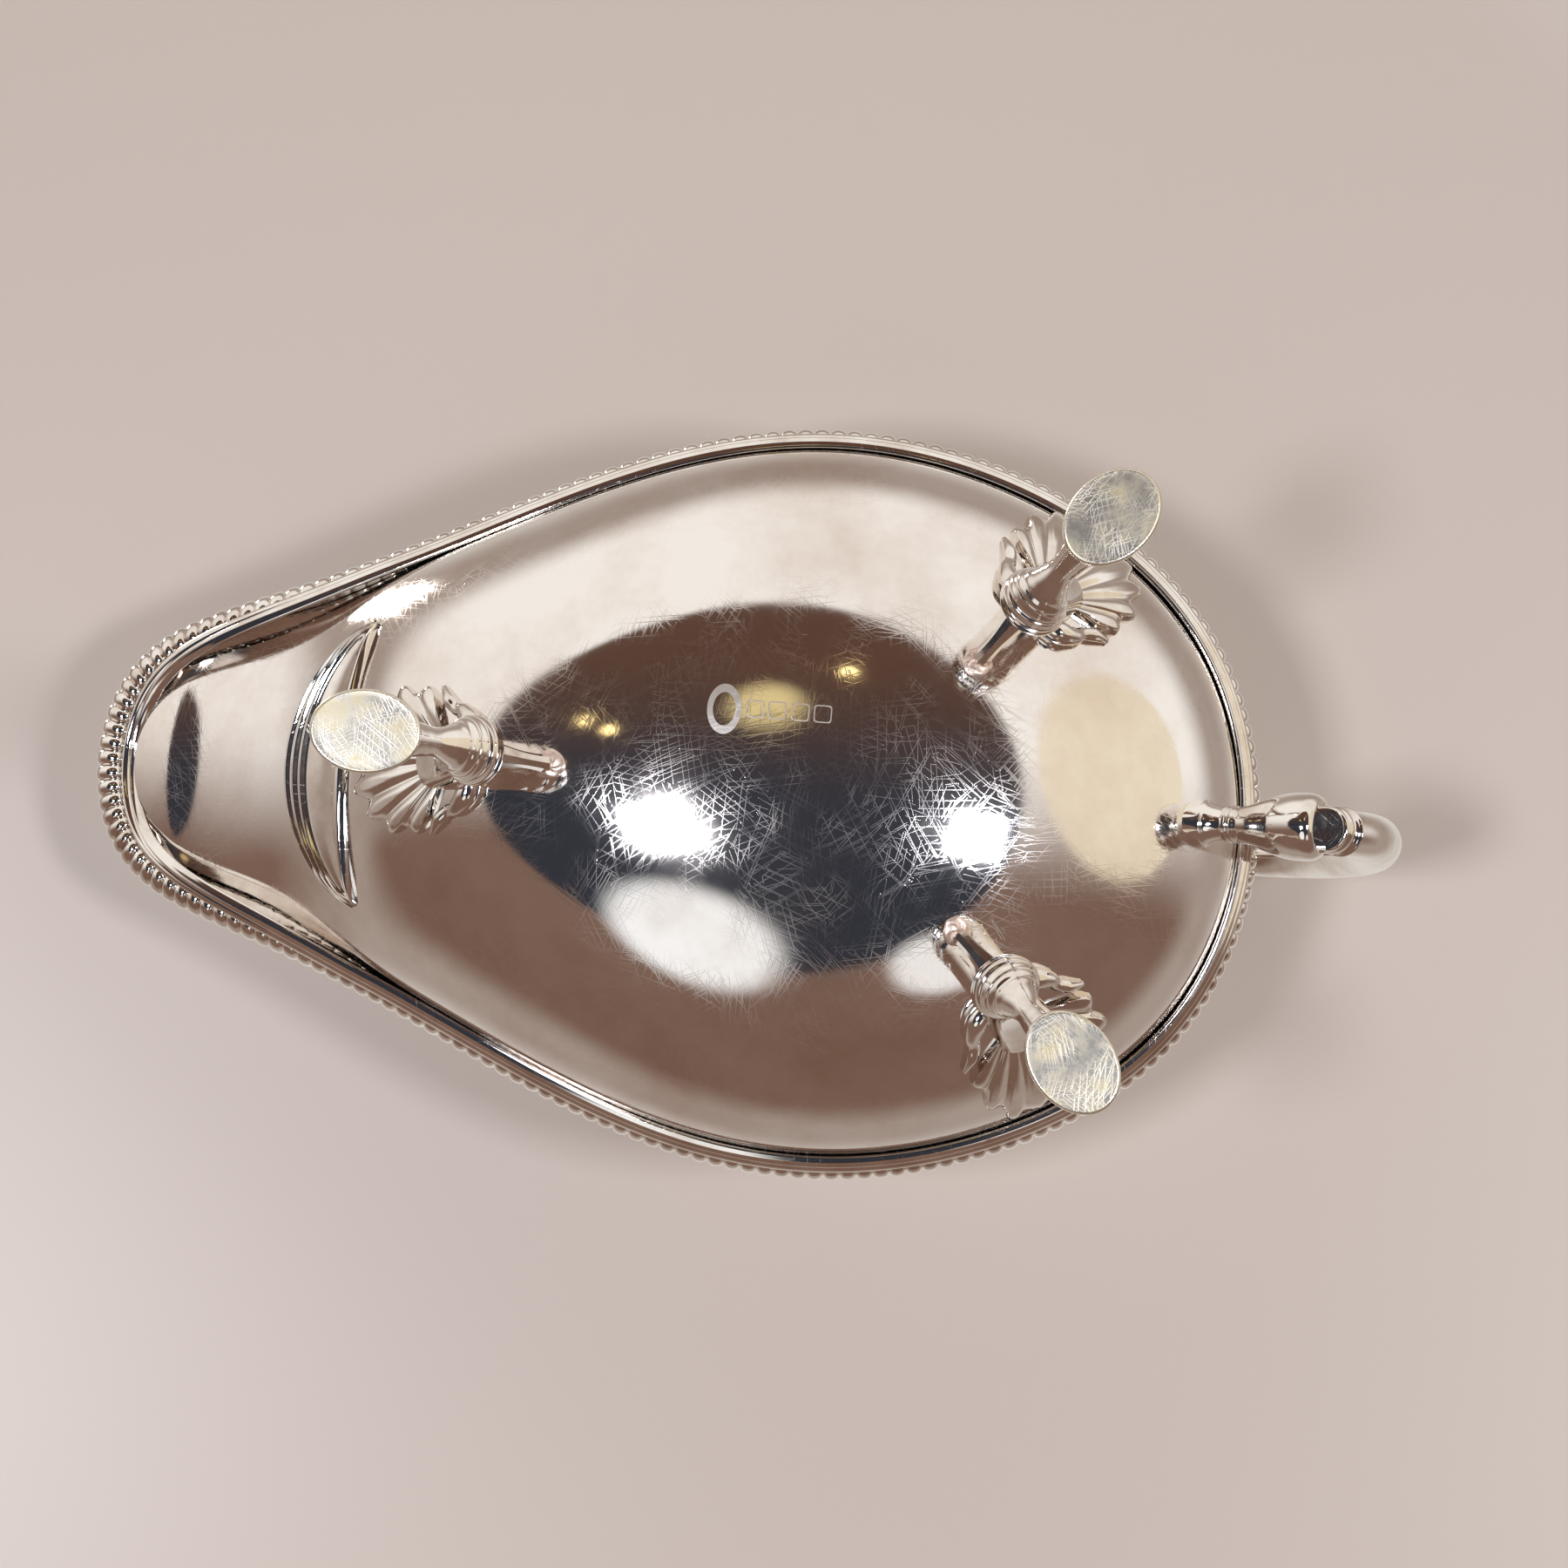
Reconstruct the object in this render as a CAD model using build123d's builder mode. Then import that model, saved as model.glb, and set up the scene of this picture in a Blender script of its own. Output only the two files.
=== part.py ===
"""Silver sauce boat on three shell-and-pad feet, with a gadrooned rim and a free scroll handle.

Millimetres, +Z up. The feet stand on z = 0, the lip points to -X and the handle to +X, and the
boat is symmetric about the XZ plane. The origin is under the middle of the overall length.
"""
from build123d import *
from math import acos, cos, pi, radians, sin, sqrt
import os

# ---- driving dimensions -------------------------------------------------------------------
WALL = 1.2                    # raised sheet of the bowl
BOWL_BACK = 77.2              # outside of the sheet at the back of the rim
BOWL_LIP = -100.3             # outside of the sheet at the tip of the lip
BOWL_BOTTOM = 24.0            # underside of the bowl at its lowest point
BELLY_X = 9.0                 # where the bowl is lowest
BELLY_DEPTH = 36.0            # from the lowest point up to the level of the side rim
BELLY_BACK = 68.2             # half-length of the belly's ellipse, backwards
BELLY_FRONT = 70.5            # the same, towards the lip
BREADTH_TERMS = (49.7, 9.9, 0.7, -2.0, 1.6)   # half-breadth of the sheet at the rim, as a sine series
RIM_SIDE = 59.6               # height of the sheet's edge at the side
RIM_LIP_RISE = 22.0           # how much higher it is at the lip
RIM_BACK_RISE = 1.5           # and at the back
RIM_DIP_X = 12.0              # where the edge is lowest
THROAT_X = -56.0              # where the belly's curve hands over to the lip
LIP_UNDERSIDE = 80.9          # underside of the lip at its tip
LIP_SLOPE = 0.53              # its slope there

GADROON_HEIGHT = 5.2          # cast border round the edge, measured along the wall
GADROON_THICKNESS = 3.1
GADROON_PROUD = 0.8           # how far the border stands above the sheet's edge
GADROON_ROUND = 0.9           # how much narrower its face is than its back
REED_HEIGHT = 2.2             # plain reeded moulding under the border
REED_THICKNESS = 2.1
REED_ROUND = 0.4
FLARE_SIDE = 3.0              # lean of the border from the vertical, degrees
FLARE_LIP = 60.0
FLARE_START_X = -55.0

FRONT_PAD = (-52.25, 0.0, 180.0)          # middle of each foot, and the way it points
REAR_PADS = ((50.0, 38.5, 49.0), (50.0, -38.5, -49.0))
PAD_LENGTH, PAD_WIDTH, PAD_THICKNESS = 15.8, 12.0, 1.5
SHELL_THICKNESS = 1.6
SHELL_CENTRE = -3.5           # from the middle of the pad, outwards, as the three below
SHELL_LENGTH, SHELL_WIDTH = 15.6, 19.6
SHELL_LOBES, LOBE_RADIUS = 9, 2.0
SHELL_TOP = 53.5              # the shells stop short of the rim
STAY_FOOT = -24.7             # where the stay meets the bowl
STAY_KNEE = (-16.2, 18.5)     # where it leaves the knee: outwards, up
STAY_RADII = (2.1, 1.3)
DISC_RADIUS = 2.6
DISC_THICKNESS = 0.8
# outwards, up, half-width across, half-thickness, lean of the section in degrees
LEG_STATIONS = (
    (-0.8, PAD_THICKNESS, 3.3, 3.8, 0),
    (-2.2, 3.6, 2.6, 2.6, -25),
    (-5.6, 7.6, 2.6, 2.5, -42),
    (-10.2, 12.4, 3.8, 3.3, -42),
    (-13.6, 17.8, 5.2, 4.0, -18),
    (-13.6, 24.0, 4.6, 3.6, 14),
    (-11.2, 30.5, 4.2, 3.2, 28),
    (-7.4, 37.5, 4.0, 3.0, 28),
)

DROP_HALF_WIDTH = 21.6        # moulded drop under the lip
DROP_TIP_X = -56.5
DROP_FRONT_X = -69.5
DROP_BACK_X = -59.0

ARM_START = (65.6, 45.2)      # handle: where its lower arm leaves the bowl, X and Z
ARM_TILT = -28.0              # degrees from the horizontal
SOCKET_PROFILE = ((0.0, 3.7), (4.6, 3.6), (6.4, 3.2), (9.6, 3.15))
BELL_PROFILE = ((9.6, 3.15), (14.0, 3.7), (18.2, 4.7), (22.0, 5.1), (23.9, 4.6), (24.8, 3.0))
COLLAR_START, COLLAR_TILT = (88.0, 36.2), 52.0
COLLAR_LENGTH, COLLAR_RADIUS, COLLAR_GROOVE = 3.6, 3.7, 0.6
SCROLL_POINTS = (
    (90.2, 39.0), (94.7, 44.6), (97.2, 53.0), (97.7, 64.0), (95.6, 76.0),
    (90.6, 87.6), (83.6, 95.0), (75.8, 97.3), (69.4, 94.0), (68.2, 87.4), (72.6, 84.6),
)
SCROLL_RADII = (3.4, 3.7, 3.95, 4.0, 3.9, 3.6, 3.3, 3.0, 2.7, 2.4, 2.1)
BEAD_RADIUS = 2.9


# ---- the raised form of the bowl ----------------------------------------------------------
def rim_height(x):
    """Height of the sheet's edge above the table."""
    lip = max(0.0, (RIM_DIP_X - x) / (RIM_DIP_X - BOWL_LIP))
    back = max(0.0, (x - RIM_DIP_X) / (BOWL_BACK - RIM_DIP_X))
    return RIM_SIDE + RIM_LIP_RISE * lip**2 + RIM_BACK_RISE * back**2


def rim_angle(x, inset=0.0):
    """Place along the rim as an angle: 0 at the back, pi at the tip of the lip."""
    middle = (BOWL_BACK + BOWL_LIP) / 2
    half = (BOWL_BACK - BOWL_LIP) / 2 - inset
    return acos(min(1.0, max(-1.0, (x - middle) / half)))


def half_breadth(x, inset=0.0):
    """Half-breadth of the form at its edge, inset from the outside of the sheet."""
    t = rim_angle(x, inset)
    outer = sum(size * sin((i + 1) * t) for i, size in enumerate(BREADTH_TERMS))
    return outer - inset * (1.2 * sin(t) + 0.35 * sin(3 * t))


def belly(x, inset=0.0):
    """Height and slope of the belly's ellipse on the centre line."""
    depth = BELLY_DEPTH - inset
    length = (BELLY_BACK if x > BELLY_X else BELLY_FRONT) - inset
    along = min(0.9999, abs(x - BELLY_X) / length)
    root = sqrt(1 - along**2)
    return BOWL_BOTTOM + BELLY_DEPTH - depth * root, depth * along / (length * root)


def keel(x, inset=0.0):
    """Height of the form on its centre line: the belly, run into a flared lip by a cubic."""
    if x > THROAT_X:
        return belly(x, inset)[0]
    start, start_slope = belly(THROAT_X, inset)
    run = THROAT_X - BOWL_LIP
    u = (THROAT_X - x) / run
    end = LIP_UNDERSIDE + 1.2 * inset
    return (
        start * (1 - u) ** 2 * (1 + 2 * u)
        + end * u**2 * (3 - 2 * u)
        + run * start_slope * u * (1 - u) ** 2
        - run * LIP_SLOPE * u**2 * (1 - u)
    )


def roundness(x):
    """Exponent of the cross-section: an ellipse along the belly, a parabola at the lip."""
    u = min(1.0, max(0.0, (-45.0 - x) / 50.0))
    return 0.5 + 0.5 * u * u * (3 - 2 * u)


def breadth_at(x, z, inset=0.0):
    """Half-breadth of the form at a height; straight up above the sheet's edge."""
    edge = half_breadth(x, inset)
    low, high = keel(x, inset), rim_height(x)
    if z >= high:
        return edge
    depth = min(1.0, (high - z) / max(0.01, high - low))
    return edge * sqrt(max(0.0, 1 - depth ** (1 / roundness(x))))


def reach(z, end, inset=0.0):
    """How far the keel's curve goes towards one end before it is higher than z."""
    near, far = BELLY_X, end
    if keel(far, inset) <= z:
        return far
    for _ in range(40):
        middle = (near + far) / 2
        near, far = (middle, far) if keel(middle, inset) < z else (near, middle)
    return near


def level_outline(z, inset=0.0, steps=18):
    """Points round the form at one height, from the back round the +Y side."""
    back = reach(z, BOWL_BACK - inset, inset)
    front = reach(z, BOWL_LIP + inset, inset)
    points = []
    for i in range(2 * steps):
        turn = pi * i / steps
        x = (back + front) / 2 + (back - front) / 2 * cos(turn)
        side = 1 if i < steps else -1
        y = 0.0 if i in (0, steps) else side * breadth_at(x, z, inset)
        points.append((x, y))
    return points


def bowl_form(inset=0.0):
    """Solid form of the bowl up to well above its edge, inset from the outside of the sheet."""
    bottom = BOWL_BOTTOM + inset
    levels = [bottom + up for up in (0.5, 2, 5, 10, 17, 25, 33)]
    levels += [63.0, 69.0, 74.0, 78.0, 80.4, 81.8, 83.2, 86.0, 90.0]
    with BuildPart() as form:
        for z in levels:
            with BuildSketch(Plane.XY.offset(z)):
                with BuildLine():
                    Spline(*level_outline(z, inset), periodic=True)
                make_face()
        loft()
    return form.part


os.makedirs("parts", exist_ok=True)
outside = bowl_form()
inside = bowl_form(WALL)

shell_face = bowl_form(-SHELL_THICKNESS)
disc_face = bowl_form(-DISC_THICKNESS)


def finish(piece, label):
    """Name a finished piece and write it as its own file."""
    piece.part.label = label
    export_step(piece.part, f"parts/{label}.step")
    print(label, round(piece.part.volume), len(piece.part.solids()), piece.part.is_valid)


# ---- bowl: one raised sheet, cut off along the wavy edge ----------------------------------
EDGE_POINTS = [(x, rim_height(x)) for x in (-105, -90, -70, -50, -30, -10, 12, 35, 60, 85)]
with BuildPart() as bowl:
    add(outside)
    add(inside, mode=Mode.SUBTRACT)
    with BuildSketch(Plane.XZ):
        with BuildLine():
            Spline(*EDGE_POINTS)
            Polyline(EDGE_POINTS[-1], (85, 100), (-105, 100), EDGE_POINTS[0])
        make_face()
    extrude(amount=70, both=True, mode=Mode.SUBTRACT)
finish(bowl, "bowl")


# ---- border and moulding: bands lofted round the edge, leaning with the flared lip ---------
def rim_station(t):
    """Plane across the rim at angle t, its X outwards and its Y down, and the lean there."""
    half = (BOWL_BACK - BOWL_LIP) / 2
    x = (BOWL_BACK + BOWL_LIP) / 2 + half * cos(t)
    y = sum(size * sin((i + 1) * t) for i, size in enumerate(BREADTH_TERMS))
    dx = -half * sin(t)
    dy = sum((i + 1) * size * cos((i + 1) * t) for i, size in enumerate(BREADTH_TERMS))
    dz = (rim_height(x + 0.01) - rim_height(x - 0.01)) / 0.02 * dx
    lean = min(1.0, max(0.0, (FLARE_START_X - x) / (FLARE_START_X - BOWL_LIP)))
    flare = radians(FLARE_SIDE + (FLARE_LIP - FLARE_SIDE) * lean**1.5)
    return Plane(origin=(x, y, rim_height(x)), x_dir=(dy, -dx, 0), z_dir=(dx, dy, dz)), flare


def rim_band(top, height, thickness, rounding, stations=18):
    """A band round the whole rim, from `top` down the wall, standing off the wall."""
    bottom = top + height
    profile = ((top, 0), (top + rounding, thickness), (bottom - rounding, thickness), (bottom, 0))
    with BuildPart() as band:
        for i in range(stations + 1):
            plane, flare = rim_station(pi * i / stations)
            corners = [
                (off * cos(flare) - down * sin(flare), off * sin(flare) + down * cos(flare))
                for down, off in profile
            ]
            with BuildSketch(plane):
                with BuildLine():
                    Polyline(*corners, close=True)
                make_face()
        loft()
        mirror(about=Plane.XZ)
        add(outside, mode=Mode.SUBTRACT)
    return band


gadroon_border = rim_band(-GADROON_PROUD, GADROON_HEIGHT, GADROON_THICKNESS, GADROON_ROUND)
finish(gadroon_border, "gadroon_border")
rim_moulding = rim_band(GADROON_HEIGHT - GADROON_PROUD, REED_HEIGHT, REED_THICKNESS, REED_ROUND)
finish(rim_moulding, "rim_moulding")

# ---- drop: a crescent moulding on the outside of the throat --------------------------------
with BuildPart() as lip_drop:
    add(shell_face)
    add(outside, mode=Mode.SUBTRACT)
    with BuildSketch():
        with BuildLine():
            tips = ((DROP_TIP_X, DROP_HALF_WIDTH), (DROP_TIP_X, -DROP_HALF_WIDTH))
            ThreePointArc(tips[0], (DROP_FRONT_X, 0), tips[1])
            ThreePointArc(tips[1], (DROP_BACK_X, 0), tips[0])
        make_face()
    extrude(amount=100, mode=Mode.INTERSECT)
finish(lip_drop, "lip_drop")


# ---- feet: pad, cast leg, shell on the bowl, and a stay back to the bowl -------------------
def placed(solid, pad):
    """A piece made about the middle of a pad, moved to that pad."""
    x, y, turn = pad
    return solid.moved(Location((x, y, 0), (0, 0, turn)))


with BuildPart() as pad_shape:
    with BuildSketch():
        Ellipse(PAD_LENGTH / 2, PAD_WIDTH / 2)
    extrude(amount=PAD_THICKNESS)
    fillet(pad_shape.edges(), 0.45)

with BuildPart() as leg_shape:
    for out, up, across, thick, lean in LEG_STATIONS:
        along_leg = (sin(radians(lean)), 0, cos(radians(lean)))
        across_leg = Plane(origin=(out, 0, up), x_dir=(0, 1, 0), z_dir=along_leg)
        with BuildSketch(across_leg):
            Ellipse(across, thick)
    loft()

with BuildPart() as stay_shape:
    start = Vector(STAY_KNEE[0], 0, STAY_KNEE[1])
    end = Vector(STAY_FOOT - 0.8, 0, 31.4)
    for point, radius in ((start, STAY_RADII[0]), (end, STAY_RADII[1])):
        with BuildSketch(Plane(origin=point, x_dir=(0, 1, 0), z_dir=end - start)):
            Circle(radius)
    loft()
    add(leg_shape.part, mode=Mode.SUBTRACT)

with BuildPart() as fan_shape:
    with BuildSketch(Plane.XY.offset(20)):
        with Locations((SHELL_CENTRE, 0)):
            Ellipse(SHELL_LENGTH / 2, SHELL_WIDTH / 2)
        for i in range(SHELL_LOBES):
            turn = radians(-104 + 208 * i / (SHELL_LOBES - 1))
            with Locations((SHELL_CENTRE + SHELL_LENGTH / 2 * cos(turn), SHELL_WIDTH / 2 * sin(turn))):
                Circle(LOBE_RADIUS)
    extrude(amount=SHELL_TOP - 20)

with BuildPart() as disc_shape:
    with BuildSketch(Plane.XY.offset(20)):
        with Locations((STAY_FOOT, 0)):
            Circle(DISC_RADIUS)
    extrude(amount=20)

for place, pad in zip(("front", "rear_left", "rear_right"), (FRONT_PAD, *REAR_PADS)):
    with BuildPart() as foot_pad:
        add(placed(pad_shape.part, pad))
    finish(foot_pad, f"foot_pad_{place}")

    with BuildPart() as leg:
        add(placed(leg_shape.part, pad))
        add(shell_face, mode=Mode.SUBTRACT)
    finish(leg, f"leg_{place}")

    with BuildPart() as shell:
        add(placed(fan_shape.part, pad))
        add(shell_face, mode=Mode.INTERSECT)
        add(outside, mode=Mode.SUBTRACT)
        add(lip_drop.part, mode=Mode.SUBTRACT)
    finish(shell, f"shell_{place}")

    with BuildPart() as stay_disc:
        add(placed(disc_shape.part, pad))
        add(disc_face, mode=Mode.INTERSECT)
        add(outside, mode=Mode.SUBTRACT)
    finish(stay_disc, f"stay_disc_{place}")

    with BuildPart() as stay:
        add(placed(stay_shape.part, pad))
        add(disc_face, mode=Mode.SUBTRACT)
    finish(stay, f"stay_{place}")


# ---- handle: a turned lower arm, a collar and a free scroll -------------------------------
def arm_plane(start, tilt):
    """Plane with its X along an arm that leaves `start` in the XZ plane at a tilt."""
    along = (cos(radians(tilt)), 0, sin(radians(tilt)))
    return Plane(origin=(start[0], 0, start[1]), x_dir=along, z_dir=(0, -1, 0))


def turned(profile, plane):
    """A solid turned about the plane's X from distances and radii."""
    with BuildPart() as piece:
        with BuildSketch(plane):
            with BuildLine():
                Spline(*profile)
                Polyline(profile[-1], (profile[-1][0], 0), (profile[0][0], 0), profile[0])
            make_face()
        revolve(axis=Axis(plane.origin, plane.x_dir))
    return piece


arm = arm_plane(ARM_START, ARM_TILT)
with BuildPart() as handle_socket:
    add(turned(SOCKET_PROFILE, arm).part)
    add(outside, mode=Mode.SUBTRACT)
finish(handle_socket, "handle_socket")

handle_bell = turned(BELL_PROFILE, arm)
finish(handle_bell, "handle_bell")

neck = arm_plane(COLLAR_START, COLLAR_TILT)
collar_profile = (
    (0, COLLAR_RADIUS), (COLLAR_LENGTH * 0.35, COLLAR_RADIUS),
    (COLLAR_LENGTH * 0.65, COLLAR_RADIUS - COLLAR_GROOVE), (COLLAR_LENGTH, COLLAR_RADIUS),
)
with BuildPart() as handle_collar:
    add(turned(collar_profile, neck).part)
    add(handle_bell.part, mode=Mode.SUBTRACT)
finish(handle_collar, "handle_collar")

with BuildPart() as handle_scroll:
    with BuildLine(Plane.XZ) as scroll_line:
        Spline(*SCROLL_POINTS, tangents=((cos(radians(COLLAR_TILT)), sin(radians(COLLAR_TILT))), (1, 0)),
               tangent_scalars=(1, 0.5))
    scroll_path = scroll_line.edge()
    for (x, z), radius in zip(SCROLL_POINTS, SCROLL_RADII):
        at = scroll_path.param_at_point((x, 0, z))
        with BuildSketch(Plane(origin=(x, 0, z), x_dir=(0, 1, 0), z_dir=scroll_path % at)):
            Circle(radius)
    loft()
    add(handle_collar.part, mode=Mode.SUBTRACT)
finish(handle_scroll, "handle_scroll")

with BuildPart() as scroll_bead:
    with Locations((SCROLL_POINTS[-1][0] + 1.6, 0, SCROLL_POINTS[-1][1])):
        Sphere(BEAD_RADIUS)
    add(handle_scroll.part, mode=Mode.SUBTRACT)
finish(scroll_bead, "scroll_bead")
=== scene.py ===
"""Silver sauce boat: the smooth, detailed pieces of the boat, its finishes, and the studio.

Every piece stands where its CAD node stands. Forms are worked out in millimetres and the
meshes are in metres; the lip points to -X, the handle to +X, and the feet stand on z = 0.
"""
import bpy
from math import acos, cos, floor, pi, radians, sin, sqrt
from mathutils import Matrix, Vector


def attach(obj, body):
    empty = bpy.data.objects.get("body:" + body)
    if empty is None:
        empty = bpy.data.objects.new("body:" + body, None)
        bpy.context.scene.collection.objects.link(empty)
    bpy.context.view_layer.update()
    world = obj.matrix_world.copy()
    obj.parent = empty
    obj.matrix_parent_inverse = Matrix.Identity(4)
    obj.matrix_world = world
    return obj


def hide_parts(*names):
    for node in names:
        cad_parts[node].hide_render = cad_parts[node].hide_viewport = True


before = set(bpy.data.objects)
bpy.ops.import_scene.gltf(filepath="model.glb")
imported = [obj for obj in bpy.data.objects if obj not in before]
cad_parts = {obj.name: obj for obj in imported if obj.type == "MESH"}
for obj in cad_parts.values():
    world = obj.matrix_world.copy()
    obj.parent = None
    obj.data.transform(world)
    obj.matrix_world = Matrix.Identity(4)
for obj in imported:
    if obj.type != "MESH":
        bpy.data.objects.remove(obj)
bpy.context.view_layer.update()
MM = 0.001

# ---- the bowl's form, in millimetres -------------------------------------------------------
WALL = 1.2
BACK, LIP = 77.2, -100.3
BOTTOM, DEPTH, BELLY_X = 24.0, 36.0, 9.0
BELLY_BACK, BELLY_FRONT = 68.2, 70.5
BREADTH = (49.7, 9.9, 0.7, -2.0, 1.6)
RIM_SIDE, LIP_RISE, BACK_RISE, DIP_X = 59.6, 22.0, 1.5, 12.0
THROAT, SHELF = -56.0, -88.0                      # where the keel leaves the belly, and flattens
SHELF_HEIGHT, SHELF_RISE = 73.5, 0.24
LIP_UNDERSIDE, LIP_SLOPE = 80.9, 0.6
HOLLOW_FROM, HOLLOW_RUN = -45.0, 50.0             # where sections turn from round to a channel
NORMAL_STEP = 0.25
MIDDLE_OF_WALL = 0.45


def smoothstep(u):
    u = min(1.0, max(0.0, u))
    return u * u * (3 - 2 * u)


def rim_height(x):
    lip = max(0.0, (DIP_X - x) / (DIP_X - LIP))
    back = max(0.0, (x - DIP_X) / (BACK - DIP_X))
    return RIM_SIDE + LIP_RISE * lip**2 + BACK_RISE * back**2


def rim_plan(t):
    """Point of the rim in plan, t going round from the back over the +Y side."""
    x = (BACK + LIP) / 2 + (BACK - LIP) / 2 * cos(t)
    return x, sum(size * sin((i + 1) * t) for i, size in enumerate(BREADTH))


def half_breadth(x):
    t = acos(min(1.0, max(-1.0, (x - (BACK + LIP) / 2) / ((BACK - LIP) / 2))))
    return rim_plan(t)[1]


def belly(x):
    length = BELLY_BACK if x > BELLY_X else BELLY_FRONT
    along = min(0.9999, abs(x - BELLY_X) / length)
    root = sqrt(1 - along**2)
    return BOTTOM + DEPTH - DEPTH * root, DEPTH * along / (length * root)


def hermite(a, b, u):
    """Height along a cubic between two (x, height, rise per millimetre) points, going to -X."""
    run = a[0] - b[0]
    return (a[1] * (1 - u) ** 2 * (1 + 2 * u) + b[1] * u**2 * (3 - 2 * u)
            + run * a[2] * u * (1 - u) ** 2 - run * b[2] * u**2 * (1 - u))


def keel(x):
    """The bowl's height on its centre line: the belly, the throat, and a lip that lies over."""
    if x > THROAT:
        return belly(x)[0]
    shelf = (SHELF, SHELF_HEIGHT, SHELF_RISE)
    if x > SHELF:
        return hermite((THROAT, *belly(THROAT)), shelf, (THROAT - x) / (THROAT - SHELF))
    return hermite(shelf, (LIP, LIP_UNDERSIDE, LIP_SLOPE), (SHELF - x) / (SHELF - LIP))


def bowl_z(x, y):
    """Height of the outside of the bowl above a point in plan."""
    x = min(BACK, max(LIP, x))
    edge = max(1e-6, half_breadth(x))
    power = 0.5 + 0.5 * smoothstep((HOLLOW_FROM - x) / HOLLOW_RUN)
    high = rim_height(x)
    return high - (high - keel(x)) * max(0.0, 1 - min(1.0, abs(y) / edge) ** 2) ** power


def on_bowl(x, y, proud):
    """Point on the outside of the bowl, moved out from it along its normal."""
    z = bowl_z(x, y)
    step = NORMAL_STEP
    across = Vector(((bowl_z(x + step, y) - bowl_z(x - step, y)) / (2 * step),
                     (bowl_z(x, y + step) - bowl_z(x, y - step)) / (2 * step), -1)).normalized()
    return Vector((x, y, z)) + across * proud


# ---- ways of making a piece ----------------------------------------------------------------
def sheet_piece(name, columns, rows, place):
    """A grid primitive laid over a surface: place(u, v), both 0 to 1, gives millimetres."""
    bpy.ops.object.select_all(action="DESELECT")
    bpy.ops.mesh.primitive_grid_add(x_subdivisions=columns, y_subdivisions=rows, size=1)
    piece = bpy.context.object
    piece.name = piece.data.name = name
    for vertex in piece.data.vertices:
        vertex.co = Vector(place(vertex.co.x + 0.5, vertex.co.y + 0.5)) * MM
    bpy.ops.object.mode_set(mode="EDIT")
    bpy.ops.mesh.select_all(action="SELECT")
    bpy.ops.mesh.remove_doubles(threshold=2e-6)
    bpy.ops.mesh.dissolve_degenerate(threshold=1e-7)
    bpy.ops.mesh.select_all(action="SELECT")
    bpy.ops.mesh.normals_make_consistent(inside=False)
    bpy.ops.object.mode_set(mode="OBJECT")
    return piece


def thicken(piece, wall):
    """Gives a sheet its wall, inwards."""
    solid = piece.modifiers.new("wall", "SOLIDIFY")
    solid.thickness, solid.offset = wall * MM, -1
    bpy.ops.object.modifier_apply(modifier=solid.name)


def smooth(piece, angle=40):
    bpy.ops.object.select_all(action="DESELECT")
    piece.select_set(True)
    bpy.context.view_layer.objects.active = piece
    bpy.ops.object.shade_smooth_by_angle(angle=radians(angle))
    return piece


def curve_value(rows, at):
    """Catmull-Rom value between rows of numbers, at a row position such as 2.4."""
    i = min(len(rows) - 2, max(0, int(floor(at))))
    f = at - i
    a, b = rows[max(0, i - 1)], rows[i]
    c, d = rows[i + 1], rows[min(len(rows) - 1, i + 2)]
    return [0.5 * (2 * q + (r - p) * f + (2 * p - 5 * q + 4 * r - s) * f * f
                   + (3 * q - p - 3 * r + s) * f**3) for p, q, r, s in zip(a, b, c, d)]


def swept_piece(name, around, along, section):
    """A closed body: section(v) gives centre, two half-axes and the point for an angle follows."""
    cap = 1.5 / along

    def place(u, v):
        centre, first, second = section(min(1.0, max(0.0, (v - cap) / (1 - 2 * cap))))
        grow = 0.0 if v < 0.5 * cap or v > 1 - 0.5 * cap else 1.0
        turn = 2 * pi * u
        return centre + (first * cos(turn) + second * sin(turn)) * grow
    return sheet_piece(name, around, along, place)


def finish_piece(piece, material, slot, *nodes):
    """Gives a piece its finish, hangs it under the root, and hides the CAD nodes that it stands
    for.
    """
    piece.data.materials.clear()
    piece.data.materials.append(material)
    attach(piece, "root")
    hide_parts(*nodes)


# ---- finishes ------------------------------------------------------------------------------
def colour(code):
    """Linear RGBA of an sRGB hex colour."""
    parts = [int(code[i:i + 2], 16) / 255 for i in (0, 2, 4)]
    return [c / 12.92 if c <= 0.04045 else ((c + 0.055) / 1.055) ** 2.4 for c in parts] + [1.0]


def add_node(tree, kind, inputs=(), **settings):
    """Adds a node with its settings; inputs are (socket, value or output) pairs."""
    made = tree.nodes.new(kind)
    for key, value in settings.items():
        setattr(made, key, value)
    for socket, value in inputs:
        if isinstance(value, bpy.types.NodeSocket):
            tree.links.new(value, made.inputs[socket])
        else:
            made.inputs[socket].default_value = value
    return made


def new_material(name):
    material = bpy.data.materials.new(name)
    material.use_nodes = True
    tree = material.node_tree
    tree.nodes.clear()
    out = add_node(tree, "ShaderNodeOutputMaterial")
    return material, tree, out


def per_mm(size):
    """Texture scale for a feature of that many millimetres, on coordinates in metres."""
    return 1000.0 / size


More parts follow.
